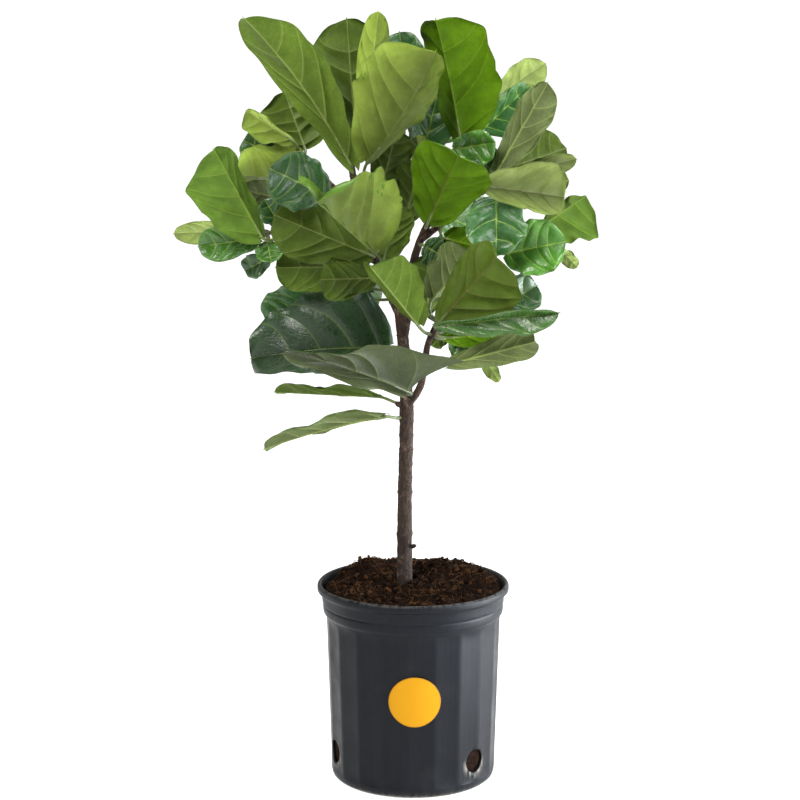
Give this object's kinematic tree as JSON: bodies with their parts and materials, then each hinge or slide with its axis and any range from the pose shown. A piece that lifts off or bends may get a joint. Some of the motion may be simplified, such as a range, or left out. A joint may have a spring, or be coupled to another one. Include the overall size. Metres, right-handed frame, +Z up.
{
  "type": "potted fiddle leaf fig",
  "caption": "Potted fiddle leaf fig: broad waved leaves on a branched woody stem, standing in a round nursery pot filled with soil, with a plain yellow sticker.",
  "frame": {"origin": "centre of the pot's flat underside, on the surface that it stands on", "axes": "+Z up along the pot's axis, the object's longest extent; the picture's front faces -Y, and +X is right in the picture"},
  "size_m": [0.5506, 0.4406, 1.0113],
  "materials": {
    "pot_plastic": "satin, slightly scuffed",
    "soil": "coarse, fibrous",
    "label_yellow": "plain, satin",
    "bark": "rough bark",
    "leaf_olive": "soft sheen, underside of a leathery leaf",
    "leaf_grey": "matte grey-green underside",
    "leaf_bright": "matte, bright yellow-green underside",
    "leaf_vivid": "soft sheen, light shining through",
    "leaf_pale": "matte pale green, young leaf",
    "leaf_mid": "semi-gloss mid-green",
    "leaf_dark": "glossy dark green upper side"
  },
  "bodies": {
    "root": {"pot": "pot_plastic", "soil": "soil", "label": "label_yellow", "stem": "bark", "leaf_long_top_left": "leaf_olive", "leaf_top_centre": "leaf_olive", "leaf_folded_top": "leaf_bright", "leaf_bright_bowl": "leaf_bright", "leaf_top_right": "leaf_vivid", "leaf_pale_upper_right": "leaf_pale", "leaf_glossy_upper_right": "leaf_dark", "leaf_small_upper_right": "leaf_mid", "leaf_tall_right": "leaf_grey", "leaf_pale_shell": "leaf_pale", "leaf_left_bowl": "leaf_bright", "leaf_far_left": "leaf_vivid", "leaf_dark_left": "leaf_dark", "leaf_grey_left": "leaf_grey", "leaf_bright_middle": "leaf_bright", "leaf_wide_middle_left": "leaf_olive", "leaf_middle_right": "leaf_vivid", "leaf_small_middle": "leaf_olive", "leaf_inner_dark": "leaf_dark", "leaf_inner_small": "leaf_dark", "leaf_inner_right": "leaf_dark", "leaf_glossy_hanging": "leaf_dark", "leaf_round_right": "leaf_mid", "leaf_far_right": "leaf_vivid", "leaf_curled_right": "leaf_pale", "leaf_yellow_inner": "leaf_vivid", "leaf_grey_right": "leaf_grey", "leaf_brown_veined": "leaf_olive", "leaf_glossy_low_right": "leaf_dark", "leaf_flat_right": "leaf_mid", "leaf_vivid_low_right": "leaf_vivid", "leaf_hooked_right": "leaf_grey", "leaf_great_lower": "leaf_grey", "leaf_great_dark": "leaf_dark", "leaf_glossy_low_left": "leaf_dark", "leaf_edge_on_upper": "leaf_olive", "leaf_edge_on_lower": "leaf_grey", "leaf_olive_left": "leaf_olive", "leaf_olive_small": "leaf_olive", "leaf_dark_small": "leaf_dark", "leaf_hanging_middle": "leaf_olive", "leaf_rear_top_left": "leaf_mid", "leaf_inner_olive": "leaf_olive", "leaf_rear_right": "leaf_mid", "leaf_rear_left": "leaf_mid", "leaf_rear_low_left": "leaf_mid", "leaf_rear_low_right": "leaf_mid", "spray_outer": "leaf_mid", "spray_far_left": "leaf_mid", "spray_upper_left": "leaf_mid", "spray_back": "leaf_mid"}
  },
  "joints": []
}
